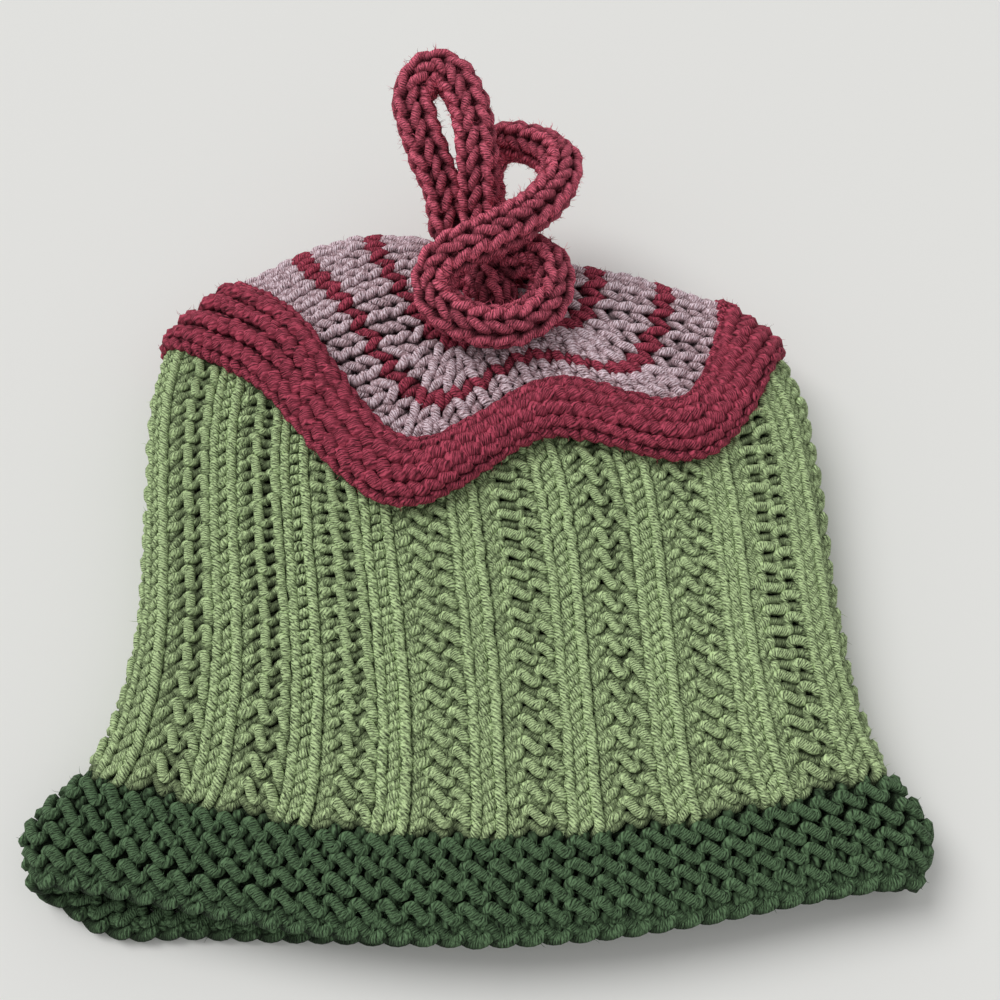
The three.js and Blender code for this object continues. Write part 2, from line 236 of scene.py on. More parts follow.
# Loose fibres that stand out of the yarn: three-sided hairs, bent once.  A real fibre is
# about 0.03 thick, too fine to show, so each hair stands for a wisp of them.
HAIR_SIDES = 3
HAIR_ROOT = 0.2  # how deep its root sits in the yarn
HAIR_SHADES = 40  # length of yarn that the hairs take their shades from
HAIR_RADII = (0.07, 0.055, 0.01)  # at the root, the bend and the tip
HAIR_LENGTH = (0.9, 2.6)  # shortest and longest
HAIR_STRAY = 0.9  # how far a hair's way strays from straight out
STRIP_EDGE, HAIR_EDGE = 0.04, 0.1  # bare edges in the map, in strips and in hairs
BRIM_HAIRS, STRETCH_HAIRS, WELT_HAIRS = 900, 600, 1500
LILAC_HAIRS, STRIPE_HAIRS = 900, 200
CORD_HAIRS = 10  # on each millimetre of the topknot's cord


# ---------------------------------------------------------------- settings
def linear(hex_colour):
    """An sRGB hex colour as the linear colour that Blender works in."""
    levels = [int(hex_colour[place:place + 2], 16) / 255 for place in (0, 2, 4)]
    return [level / 12.92 if level <= 0.04045 else ((level + 0.055) / 1.055) ** 2.4
            for level in levels]


class BeanieYarns(bpy.types.PropertyGroup):
    """The wools and the yarn spun from them."""

    dark_green: bpy.props.FloatVectorProperty(
        name="Brim green", description="Colour of the brim's wool", subtype="COLOR",
        size=3, min=0, max=1, default=linear("41573c"))
    sage_green: bpy.props.FloatVectorProperty(
        name="Body green", description="Colour of the body's wool", subtype="COLOR",
        size=3, min=0, max=1, default=linear("8fa175"))
    raspberry: bpy.props.FloatVectorProperty(
        name="Raspberry", description="Colour of the welt's and topknot's wool",
        subtype="COLOR", size=3, min=0, max=1, default=linear("873243"))
    # Painted light: the topknot's wool is the same raspberry as the welt's, painted lighter
    # for the stronger light that falls on the topknot.
    lightened: bpy.props.FloatVectorProperty(
        name="Lightened raspberry", description="Colour of the topknot's wool",
        subtype="COLOR", size=3, min=0, max=1, default=linear("b25163"))
    lilac: bpy.props.FloatVectorProperty(
        name="Lilac", description="Colour of the crown's wool", subtype="COLOR",
        size=3, min=0, max=1, default=linear("c2a2a9"))
    thickness: bpy.props.FloatProperty(
        name="Yarn", description="Thickness of the yarn", subtype="DISTANCE",
        unit="LENGTH", default=2.9 * MM, min=1 * MM, max=6 * MM)
    chunky: bpy.props.FloatProperty(
        name="Chunky yarn", description="Thickness of the yarn of all but the body",
        subtype="DISTANCE", unit="LENGTH", default=3.1 * MM, min=1 * MM, max=6 * MM)
    plies: bpy.props.IntProperty(
        name="Plies", description="Strands that show once round the yarn", default=6,
        min=2, max=12)


class BeanieStage(bpy.types.PropertyGroup):
    """The camera's place and the floor."""

    elevation: bpy.props.FloatProperty(
        name="Elevation", description="Angle of the camera above the floor",
        subtype="ANGLE", default=math.radians(62), min=0, max=math.pi / 2)
    distance: bpy.props.FloatProperty(
        name="Distance", description="From the camera to the middle of the view",
        subtype="DISTANCE", unit="LENGTH", default=314 * MM, min=50 * MM, max=5)
    lens: bpy.props.FloatProperty(
        name="Lens", description="Focal length for a 36 mm sensor", unit="CAMERA",
        default=39.6, min=10, max=300)
    floor: bpy.props.FloatVectorProperty(
        name="Floor", description="Colour of the floor", subtype="COLOR", size=3, min=0,
        max=1, default=linear("ededea"))
    softbox: bpy.props.FloatProperty(
        name="Softbox", description="Strength of the large soft light",
        default=1.55, min=0, max=20)
    softness: bpy.props.FloatProperty(
        name="Softness", description="How wide the soft light looks from the hat",
        subtype="ANGLE", default=math.radians(35), min=0, max=math.pi)
    room: bpy.props.FloatProperty(
        name="Room light", description="Strength of the light from all round",
        default=0.5, min=0, max=5)


# ---------------------------------------------------------------- reading the tables
def read_table(table, place, period=0.0):
    """Smooth values of a table between its rows, one column of the result for each of its
    columns.  The first column is the place.  With a period, the table goes round."""
    if period:
        rows = np.vstack([table[-1:], table, table[:2]]).astype(float)
        rows[0, 0] -= period
        rows[-2:, 0] += period
        place = np.mod(place, period)
    else:
        rows = np.vstack([table[:1], table, table[-1:]]).astype(float)
    inner = rows[1:-1, 0]
    index = np.clip(np.searchsorted(inner, place, side="right"), 1, len(inner) - 1)
    before, low, high, after = (rows[index + step] for step in (-1, 0, 1, 2))

    def slope(a, b):
        return (b - a) / (b[:, :1] - a[:, :1])

    span = high[:, :1] - low[:, :1]
    share = (place[:, None] - low[:, :1]) / span
    leave, arrive = slope(before, high) * span, slope(low, after) * span
    rise = high - low
    bend = leave + arrive - 2 * rise
    return low + share * (leave + share * (3 * rise - 2 * leave - arrive + share * bend))


def read_named(table, names, place, period=0.0):
    return dict(zip(names, read_table(table, place, period).T))


# ---------------------------------------------------------------- middle surfaces
def layer_places(round_steps=8, flat_steps=24):
    """Shares of the flat and of the fold's radius, and the lift, across one layer."""
    turn = np.arange(round_steps) / round_steps * math.pi / 2
    flat = np.linspace(-1, 1, flat_steps + 1)
    side = np.ones(round_steps)
    return (np.concatenate([-side, flat, side]),
            np.concatenate([-np.cos(turn), 0 * flat, np.cos(turn[::-1])]),
            np.concatenate([np.sin(turn), 0 * flat + 1, np.sin(turn[::-1])]))


ACROSS_FLAT, ACROSS_FOLD, LIFT = layer_places()


def tube_points(wale, up):
    """The tube's middle surface at wales and knitted heights."""
    turn = np.mod(wale / WALES, 1.0)
    is_front = (turn < 0.5)[:, None]
    share = np.where(turn < 0.5, 2 * turn, 2 - 2 * turn)
    ring = {name: value[:, None]
            for name, value in read_named(RINGS, RING_COLUMNS, up).items()}
    radius = ring["depth"] / 2
    x = (ring["half_width"] - radius) * ACROSS_FLAT + radius * ACROSS_FOLD
    out = x / ring["half_width"]
    middle = np.maximum(1 - out * out, 0)
    bow = np.where(is_front, ring["front"], ring["back"]) - ring["fold"]
    swing = np.where(is_front, 0, ring["skew"] * out * middle)
    swell = LIFT * np.where(is_front, radius + ring["arch"] * middle, -radius)
    y = ring["fold"] + bow * middle ** ring["blunt"] + swing
    low = np.where(is_front, 0, np.clip(1 - up / MOUTH_DEPTH, 0, 1)[:, None])
    for at, wide, drop in MOUTH:
        y = y - drop * low * np.exp(-((x - at) / wide) ** 2)
    line = np.stack([x + ring["shift"], y, ring["under"] + radius + swell], axis=-1)

    pieces = np.linalg.norm(np.diff(line, axis=1), axis=-1)
    lengths = np.concatenate([np.zeros((len(line), 1)), np.cumsum(pieces, axis=1)], axis=1)
    wanted = share * lengths[:, -1]
    index = np.clip((lengths < wanted[:, None]).sum(axis=1), 1, line.shape[1] - 1)
    each = np.arange(len(line))
    part = (wanted - lengths[each, index - 1]) / pieces[each, index - 1]
    start, end = line[each, index - 1], line[each, index]
    return start + part[:, None] * (end - start)


def crown_points(wale, share):
    """The crown's middle surface: 0 at its edge, 1 at its apex."""
    corner = read_named(CORNERS, CORNER_COLUMNS, wale, WALES)
    edge = np.stack([corner["x"], corner["y"], corner["z"]], axis=-1)
    bulge = np.sin(math.pi * np.clip(share, 0, 1))
    point = edge + share[:, None] * (APEX - edge)
    point[:, 1] += corner["swell_y"] * bulge
    point[:, 2] += corner["swell_z"] * bulge
    point[:, 2] = np.maximum(point[:, 2], HALF_WALL)
    return point


def unit(vectors):
    return vectors / np.linalg.norm(vectors, axis=-1, keepdims=True)


def outward(surface, wale, height, reach):
    """The way out of a surface, from the points half a wale to each side and a reach up and
    down it."""
    across = surface(wale + 0.5, height) - surface(wale - 0.5, height)
    along = surface(wale, height + reach) - surface(wale, height - reach)
    return unit(np.cross(across, along))


def welt_points(wale, share):
    """The welt's arch of fabric, from the body's top edge to the crown's edge."""
    at_fold = ((0.5 + 0.5 * np.cos(4 * math.pi * wale / WALES)) ** 2)[:, None]
    stand = HALF_WALL + WELT_FOOT * (1 - at_fold)
    pull = (WELT_RISE - WELT_PRESSED * at_fold - stand) / ARCH_RISE
    up = read_named(CORNERS, CORNER_COLUMNS, wale, WALES)["up"]
    edge = np.zeros_like(wale)
    low_out = outward(tube_points, wale, up, 1)
    high_out = outward(crown_points, wale, edge, 0.02)
    low = tube_points(wale, up) + low_out * stand
    high = crown_points(wale, edge) + high_out * stand
    across = unit(high - low)
    low_pull = low + low_out * pull - across * WELT_LEAN
    high_pull = high + high_out * pull + across * WELT_LEAN
    s = share[:, None]
    rest = 1 - s
    point = (rest ** 3 * low + 3 * rest ** 2 * s * low_pull
             + 3 * rest * s ** 2 * high_pull + s ** 3 * high)
    point[:, 1] -= WELT_SLIP * at_fold[:, 0]
    point[:, 2] = np.maximum(point[:, 2], HALF_WALL)
    return point


def cord_surface(route):
    """The middle surface of a cord along its route, and how many rounds it takes."""
    knots = np.arange(len(route), dtype=float)
    table = np.column_stack([knots, route])
    line = read_table(table, np.linspace(0, knots[-1], CORD_SAMPLES * len(route)))[:, 1:]
    length = np.concatenate([[0], np.cumsum(np.linalg.norm(np.diff(line, axis=0), axis=1))])
    even = np.linspace(0, length[-1], CORD_STEPS)
    line = np.column_stack([np.interp(even, length, line[:, axis]) for axis in range(3)])
    tangent = unit(np.gradient(line, axis=0))
    side = np.empty_like(line)
    side[0] = unit(np.cross(tangent[0], (0.3, 0.2, 1)))  # any way but the cord's own
    for index in range(1, len(line)):
        kept = side[index - 1] - tangent[index] * (side[index - 1] @ tangent[index])
        side[index] = unit(kept)
    rounds = length[-1] / CORD_ROUND

    def surface(stitch, height):
        place = np.clip(height, 0, rounds) / rounds * (len(line) - 1)
        low = np.minimum(place.astype(int), len(line) - 2)
        part = (place - low)[:, None]

        def between(values):
            return values[low] * (1 - part) + values[low + 1] * part

        axis, across = between(tangent), unit(between(side))
        other = np.cross(axis, across)
        angle = (stitch / CORD_STITCHES * 2 * math.pi)[:, None]
        return between(line) + CORD_MIDDLE * (np.cos(angle) * across + np.sin(angle) * other)

    return surface, rounds


class Fabric:
    """A knitted piece's middle surface, by stitches round it and rounds up it, sampled
    finely enough to lay yarn on."""

    def __init__(self, surface, around, low, high):
        self.around, self.low, self.high = around, low, high
        self.columns = max(COLUMNS_A_STITCH * around, FEWEST_COLUMNS)
        self.rows = int(ROWS_A_ROUND * (high - low)) + 1
        stitch = np.arange(self.columns) / self.columns * around
        height = np.linspace(low, high, self.rows)
        grid = np.meshgrid(stitch, height)
        points = surface(grid[0].ravel(), grid[1].ravel())
        self.points = points.reshape(self.rows, self.columns, 3)
        across = np.roll(self.points, -1, axis=1) - np.roll(self.points, 1, axis=1)
        along = np.gradient(self.points, axis=0)
        self.outs = unit(np.cross(across, along))
        across *= self.columns / around / 2
        along *= (self.rows - 1) / (high - low)
        self.slants = (across * along).sum(axis=-1) / (across * across).sum(axis=-1)

    def place(self, stitch, height):
        """The columns and rows of samples that stitches and heights lie on."""
        share = (np.clip(height, self.low, self.high) - self.low) / (self.high - self.low)
        return np.mod(stitch / self.around, 1.0) * self.columns, share * (self.rows - 1)

    def slant(self, stitch, height):
        """How many stitches each round leans on along the course, instead of standing
        square to it."""
        column, row = (np.round(value).astype(int) for value in self.place(stitch, height))
        return self.slants[row, column % self.columns]

    def lay(self, stitch, height, stand):
        """Points that stand off the middle surface, and the way out there."""
        column, row = self.place(stitch, height)
        left, low = column.astype(int), np.minimum(row.astype(int), self.rows - 2)
        right, left = (left + 1) % self.columns, left % self.columns
        x, y = (column - np.floor(column))[..., None], (row - low)[..., None]

        def between(values):
            bottom = values[low, left] * (1 - x) + values[low, right] * x
            top = values[low + 1, left] * (1 - x) + values[low + 1, right] * x
            return bottom * (1 - y) + top * y

        outs = unit(between(self.outs))
        return between(self.points) + outs * stand[..., None], outs


# ---------------------------------------------------------------- stitches
def smooth_step(low, high, value):
    share = np.clip((value - low) / (high - low), 0, 1)
    return share * share * (3 - 2 * share)


def loop_course(kinds, row_height, lean, reach=1.0):
    """The way of the yarn through one course of knit loops, as three arrays with a row for
    each stitch: across in stitches, up in rounds from the middle of the course, and out in
    millimetres.  kinds are KNIT or PURL for each stitch: a loop's feet are drawn towards
    the side that its neighbours' are on."""
    t = np.arange(POINTS_A_LOOP) / POINTS_A_LOOP
    up = -0.5 * (1 + LOOP_OVERLAP / row_height) * np.cos(2 * math.pi * t)
    across = np.arange(len(kinds))[:, None] + t + LOOP_SWING * np.sin(4 * math.pi * t)
    foot = np.abs(2 * t - 1)  # 1 at the feet between the stitches, 0 at the head
    is_low = smooth_step(*LOWER_HALF, foot)
    drawn = FOOT_DRAWN * smooth_step(*FOOT_ENDS, foot)
    beside = np.where(t < 0.5, np.roll(kinds, 1)[:, None], np.roll(kinds, -1)[:, None])
    side = 1 + is_low * drawn * (beside - KNIT)
    wave = np.tanh(-LOOP_SQUARE * np.cos(4 * math.pi * t)) / math.tanh(LOOP_SQUARE)
    out = side * wave * LOOP_REACH * reach - LOOP_TILT * np.sin(2 * math.pi * t)
    return across + lean * up, np.broadcast_to(up, out.shape), out


def ridge_course(count, climb, middle, reach, stretch, dive, points=POINTS_A_LOOP):
    """The way of the yarn along a ridge: from its foot it climbs behind, goes over the top
    and falls in front, once for each stitch.  Across in stitches, up and out in
    millimetres."""
    t = np.arange(points) / points
    wave = np.cos(2 * math.pi * t)
    across = np.arange(count)[:, None] + t - stretch * (1 - wave) / (2 * math.pi)
    stand = middle + reach * (1 - 2 * np.exp(-((t - 0.25) / dive) ** 2))
    return (across, np.broadcast_to(-climb * wave, across.shape),
            np.broadcast_to(stand, across.shape))


def soften(values):
    """Rounds off the corners between one kind of stitch and the next."""
    flat = values.ravel()
    for _ in range(2):
        flat = (np.roll(flat, 1) + 2 * flat + np.roll(flat, -1)) / 4
    return flat.reshape(values.shape)


def uneven(random, count, points=POINTS_A_LOOP):
    """Small differences between stitches, which run smoothly from one to the next."""
    t = np.arange(points) / points
    head, foot = random.normal(size=(2, 3, count, 1))
    to_head = np.sin(math.pi * t) ** 2
    near_foot = np.where(t < 0.5, foot, np.roll(foot, -1, axis=1))
    return head * to_head + near_foot * (1 - to_head)


class YarnMesh:
    """Collects strands of yarn and makes one mesh of them."""

    def __init__(self, radius, seed):
        self.radius = radius
        self.random = np.random.default_rng(seed)
        self.vertices, self.stands, self.faces, self.places = [], [], [], []
        self.normals = []
        self.count = self.hairs = 0

    def add(self, points, outs, stands, closed=True, spread=1.0):
        """One strand through points, with the way out of the fabric at each, how far each
        stands out of its middle, and how much thicker the yarn spreads there."""
        if closed:
            tangents = unit(np.roll(points, -1, axis=0) - np.roll(points, 1, axis=0))
        else:
            tangents = unit(np.gradient(points, axis=0))
        sides = unit(np.cross(tangents, outs))
        lifts = np.cross(sides, tangents)
        angle = np.arange(YARN_SIDES) / YARN_SIDES * 2 * math.pi
        ring = (np.sin(angle)[:, None] * sides[:, None]
                - np.cos(angle)[:, None] * lifts[:, None])
        knots = self.random.normal(size=len(points) // SPUN_STEPS)
        plump = 1 + SPUN * np.interp(np.arange(len(points)) / SPUN_STEPS,
                                     np.arange(len(knots)), knots, period=len(knots))
        plump = spread * plump
        shell = points[:, None] + self.radius * plump[:, None, None] * ring
        shell[..., 2] = np.maximum(shell[..., 2], 0)  # it rests on the floor
        self.stands.append((stands[:, None] - self.radius * np.cos(angle)).ravel())
        steps = len(points) if closed else len(points) - 1
        here = np.arange(steps)
        there = (here + 1) % len(points)
        spot = np.arange(YARN_SIDES)
        near = (spot + 1) % YARN_SIDES
        corners = np.stack([
            here[:, None] * YARN_SIDES + spot, here[:, None] * YARN_SIDES + near,
            there[:, None] * YARN_SIDES + near, there[:, None] * YARN_SIDES + spot], axis=-1)
        length = np.linalg.norm(points[there] - points[here], axis=1)
        reach = np.concatenate([[0], np.cumsum(length)])
        first = np.broadcast_to(reach[:-1, None], (steps, YARN_SIDES))
        last = np.broadcast_to(reach[1:, None], (steps, YARN_SIDES))
        turn = np.broadcast_to(spot / YARN_SIDES, (steps, YARN_SIDES))
        turned = turn + 1 / YARN_SIDES
        self.places.append(np.stack([
            np.stack([first, turn], -1), np.stack([first, turned], -1),
            np.stack([last, turned], -1), np.stack([last, turn], -1)], axis=2)
            .reshape(-1, 4, 2))
        self.faces.append(self.count + corners.reshape(-1, 4))
        self.vertices.append(shell.reshape(-1, 3))
        self.normals.append(ring.reshape(-1, 3))
        self.count += len(points) * YARN_SIDES

    def add_hairs(self, count):
        """Loose fibres on the side of the yarn that faces out of the fabric."""
        roots = np.concatenate(self.vertices)
        normals = np.concatenate(self.normals)
        outside = np.flatnonzero(np.concatenate(self.stands) > self.radius)
        chosen = self.random.choice(outside, count)
        stray = self.random.normal(size=(2, count, 3)) * HAIR_STRAY / 2
        way = unit(normals[chosen] + stray[0])
        length = self.random.uniform(*HAIR_LENGTH, size=count)[:, None]
        root = roots[chosen] - HAIR_ROOT * normals[chosen]
        bend = root + way * length / 2
        tip = bend + unit(way + stray[1]) * length / 2
        aside = stray[0] + (0.1, 0.2, 0.3)  # any way that isn't the hair's own
        first = unit(np.cross(way, aside))
        second = np.cross(way, first)
        angle = np.arange(HAIR_SIDES) / HAIR_SIDES * 2 * math.pi
        ring = (np.cos(angle)[:, None] * first[:, None]
                + np.sin(angle)[:, None] * second[:, None])
        shell = np.stack([middle[:, None] + radius * ring for middle, radius
                          in zip((root, bend, tip), HAIR_RADII)], axis=1)
        shell[..., 2] = np.maximum(shell[..., 2], HAIR_RADII[0])
        start = self.count + np.arange(count)[:, None, None] * 3 * HAIR_SIDES
        step = np.arange(2)[:, None] * HAIR_SIDES
        spot = np.arange(HAIR_SIDES)
        near = (spot + 1) % HAIR_SIDES
        corners = np.stack([start + step + spot, start + step + near,
                            start + step + HAIR_SIDES + near,
                            start + step + HAIR_SIDES + spot], axis=-1)
        self.faces.append(corners.reshape(-1, 4))
        self.vertices.append(shell.reshape(-1, 3))
        # Hairs are painted as lit as wool that stands well out of the fabric.
        self.stands.append(np.full(shell.size // 3, 2 * self.radius))
        shades = self.random.uniform(0, HAIR_SHADES, size=(count, 1, 1))
        places = np.broadcast_to(np.stack([shades, 0 * shades], -1),
                                 (count, 2 * HAIR_SIDES, 4, 2))
        self.places.append(places.reshape(-1, 4, 2))
        self.count += shell.size // 3
        self.hairs += corners.size // 4

    def build(self, name, material):
        vertices = (np.concatenate(self.vertices) + ORIGIN) * MM
        faces = np.concatenate(self.faces)
        places = np.concatenate(self.places)
        mesh = bpy.data.meshes.new(name)
        mesh.vertices.add(len(vertices))
        mesh.vertices.foreach_set("co", vertices.astype(np.float32).ravel())
        mesh.loops.add(faces.size)
        mesh.loops.foreach_set("vertex_index", faces.astype(np.int32).ravel())
        mesh.polygons.add(len(faces))
        mesh.polygons.foreach_set("loop_start", np.arange(0, faces.size, 4, dtype=np.int32))
        mesh.update(calc_edges=True)
        mesh.validate()
        mesh.shade_smooth()
        mesh.uv_layers.new(name="Yarn").data.foreach_set(
            "uv", places.astype(np.float32).ravel())
        mesh.uv_layers.new(name="OFBake").data.foreach_set(
            "uv", self.strips(places).astype(np.float32).ravel())
        mesh.uv_layers.active = mesh.uv_layers["Yarn"]
        # How far each point stands out of its fabric's middle, from which the wool's material
        # paints shade and light.
        mesh.attributes.new("stand", "FLOAT", "POINT").data.foreach_set(
            "value", np.concatenate(self.stands).astype(np.float32))
        mesh.materials.append(material)
        piece = bpy.data.objects.new(name, mesh)
        bpy.context.scene.collection.objects.link(piece)
        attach(piece, BODY)
        return piece

    def strips(self, places):
        """A map with no overlaps: every strand cut into strips of one length, laid side by
        side, with the hairs side by side above them."""
        strands = len(places) - self.hairs
        steps = strands // YARN_SIDES
        girth = 2 * math.pi * self.radius
        total = sum(np.ptp(strand[:, :, 0]) for strand in self.places)
        rows = max(1, round(math.sqrt(total / girth)))
        a_strip = math.ceil(steps / rows)
        step = np.arange(len(places)) // YARN_SIDES
        spots = places.copy()
        spots[:, :, 0] = (step % a_strip)[:, None] + np.array([0, 0, 1, 1])
        spots[:, :, 0] /= a_strip
        spots[:, :, 1] = ((step // a_strip)[:, None] + STRIP_EDGE
                          + (1 - 2 * STRIP_EDGE) * places[:, :, 1])
        if self.hairs:
            low, high = HAIR_EDGE, 1 - HAIR_EDGE
            spots[strands:, :, 0] = (np.arange(self.hairs)[:, None]
                                     + np.array([low, high, high, low])) / self.hairs
            spots[strands:, :, 1] = rows + np.array([low, low, high, high])
            rows += 1
        spots[:, :, 1] /= rows
        return spots


# ---------------------------------------------------------------- laying the yarn
def lay_strand(yarn, fabric, stitch, height, out, **how):
    """Lays yarn at stitches and heights, no lower than the floor lets it."""
    points, outs = fabric.lay(stitch.ravel(), height.ravel(), out.ravel())
    points[:, 2] = np.maximum(points[:, 2], yarn.radius)
    yarn.add(points, outs, out.ravel(), **how)


def lay_ridge(yarn, fabric, row, shape, row_height, start=0.0, side=1,
              points=POINTS_A_LOOP, fill=0.0):
    """Lays one closed ridge on a fabric's outer side (1) or inner side (-1).  With a fill,
    the yarn spreads to that share of its round's height."""
    across, up, out = ridge_course(fabric.around, *shape, points)
    along, rise, depth = uneven(yarn.random, fabric.around, points)
    across, up = across + HAND_ALONG * along, up / row_height + HAND_UP * rise
    out = side * out + HAND_OUT * depth
    stitch = start + across - up * fabric.slant(start + across, row)
    spread = 1.0
    if fill:
        low, high = (fabric.lay(stitch.ravel(), np.full(stitch.size, row + half),
                                0 * out.ravel())[0] for half in (-0.5, 0.5))
        room = np.linalg.norm(high - low, axis=1)
        spread = np.clip(fill * room / (2 * yarn.radius), *WELT_SPREAD)
    lay_strand(yarn, fabric, stitch, row + up, out, spread=spread)


def cast_on(yarn, fabric):
    """The edge that the first round hangs from: yarn wound once round it for each stitch."""
    turns = np.arange(WALES * CAST_ON_POINTS) / CAST_ON_POINTS
    angle = 2 * math.pi * turns
    lean, low, climb, middle, reach = EDGE_TURN
    lay_strand(yarn, fabric, turns + lean * np.sin(angle), low - climb * np.cos(angle),
               middle + reach * np.sin(angle))


def in_panel():
    """Which columns of the body are garter stitch, between its ribs."""
    return np.arange(WALES) % (RIB + PANEL) >= RIB


def body_kinds(row):
    """Ribs of knit and panels of garter stitch, which is purl in every second round."""
    return np.where(in_panel() & (row % 2 == 1), PURL, KNIT)


def body_drift(row):
    """The ribs don't run quite straight: how many stitches round each course is turned."""
    return BODY_DRIFT[0] + BODY_DRIFT[1] * row / BODY_ROUNDS


def body_relief(stitch):
    """Ribs of knit stand proud and the garter between them lies back."""
    return RIB_RELIEF * np.cos((stitch - RIB_MIDDLE) / (RIB + PANEL) * 2 * math.pi)


def knit_body(yarn, fabric, row):
    """Lays one closed course of the body: loops in the ribs, and in the panels between
    them a ridge, in front where they are purl and behind where they are knit."""
    kinds = body_kinds(row)
    start = body_drift(row)
    middle = row + 0.5
    across, up, out = loop_course(kinds, BODY_ROUND, BODY_LEAN)
    is_back = (kinds == KNIT)[:, None]
    ridge, climb, stand = ridge_course(WALES, *BODY_RIDGE)
    climb = climb / BODY_ROUND * np.where(is_back, PANEL_BACK[0], 1)
    ridge = ridge - climb * fabric.slant(start + ridge, middle)
    is_panel = np.repeat(in_panel()[:, None], POINTS_A_LOOP, axis=1)
    near = soften(soften(is_panel * 1.0)) > 0
    even = np.arange(across.size).reshape(across.shape) / POINTS_A_LOOP
    across = np.where(is_panel, ridge, across)
    across = np.where(near, even + soften(across - even), across)
    up = np.where(is_panel, climb, up)
    up = np.where(near, soften(up), up)
    out = np.where(is_panel, stand * np.where(is_back, PANEL_BACK[1], 1), out)
    out = np.where(near, soften(out), out)
    along, rise, depth = uneven(yarn.random, WALES)
    across, up, out = across + HAND_ALONG * along, up + HAND_UP * rise, out + HAND_OUT * depth
    out = out + body_relief(across)
    lay_strand(yarn, fabric, start + across, middle + up, out)


def crown_stitches(row):
    """Stitches in one round of the crown: two fewer a side after every second round."""
    return CROWN_SIDES * (CROWN_A_SIDE - 2 * (row // 2))


def crown_wales(row, across, up):
    """Where a crown round's stitches lie round the hat.  Columns run straight up from the
    edge of each side, and are lost one by one at the corners.  A side narrows by a stitch
    each round, but near its corners its loops keep their width."""
    side = WALES / CROWN_SIDES
    a_side = crown_stitches(row) / CROWN_SIDES
    narrower = a_side - np.mod(row, 2) + 0.5 - up
    place = across - 0.5
    corner = np.floor(place / a_side)
    offset = place - (corner + 0.5) * a_side
    middle = smooth_step(*CROWN_CORNER, a_side / 2 - np.abs(offset))
    widths = a_side + middle * (np.maximum(narrower, CROWN_NARROWEST * a_side) - a_side)
    return (corner + 0.5) * side + np.clip(offset / widths, -0.5, 0.5) * side


# ---------------------------------------------------------------- wool
PLY_ANGLE = math.radians(68)  # between a ply and the yarn's own line
STREAKS_A_PLY, STREAKS_A_MM = 1.3, 1.8
PLY_HEIGHT, MEAN_HEIGHT, FIBRE_SPREAD = 0.34, 0.42, 2.2  # shares of the bump's depth
DEEP_SHADE, OPEN_LIGHT = (0.2, 0.42), (2.8, 1.2)  # painted shade and light: millimetres from the fabric's middle, and the lightness painted there
GROOVE_SHADE, TIP_HIGHLIGHT = 0.06, 2.3  # the darkest and lightest wool, in its own colour: painted shade in the grooves, painted highlight on the tips
TIP_GLINT = 0.01  # and the white of a painted glint on its fibres' tips
RAMP_STOPS = (0.14, 0.63, 1.0)  # lightness at which the ramp gives the grooves' painted shade, the wool's colour and the tips' painted highlight
BUMP_DEPTH = 0.35  # how deep the bump is, in millimetres


def add_node(tree, kind, inputs=None, **settings):
    """Adds a node, makes its settings, and links or sets its inputs."""
    node = tree.nodes.new(kind)
    for name, value in settings.items():
        setattr(node, name, value)
    for key, value in (inputs or {}).items():
        if isinstance(value, bpy.types.NodeSocket):
            tree.links.new(value, node.inputs[key])
        else:
            node.inputs[key].default_value = value
    return node


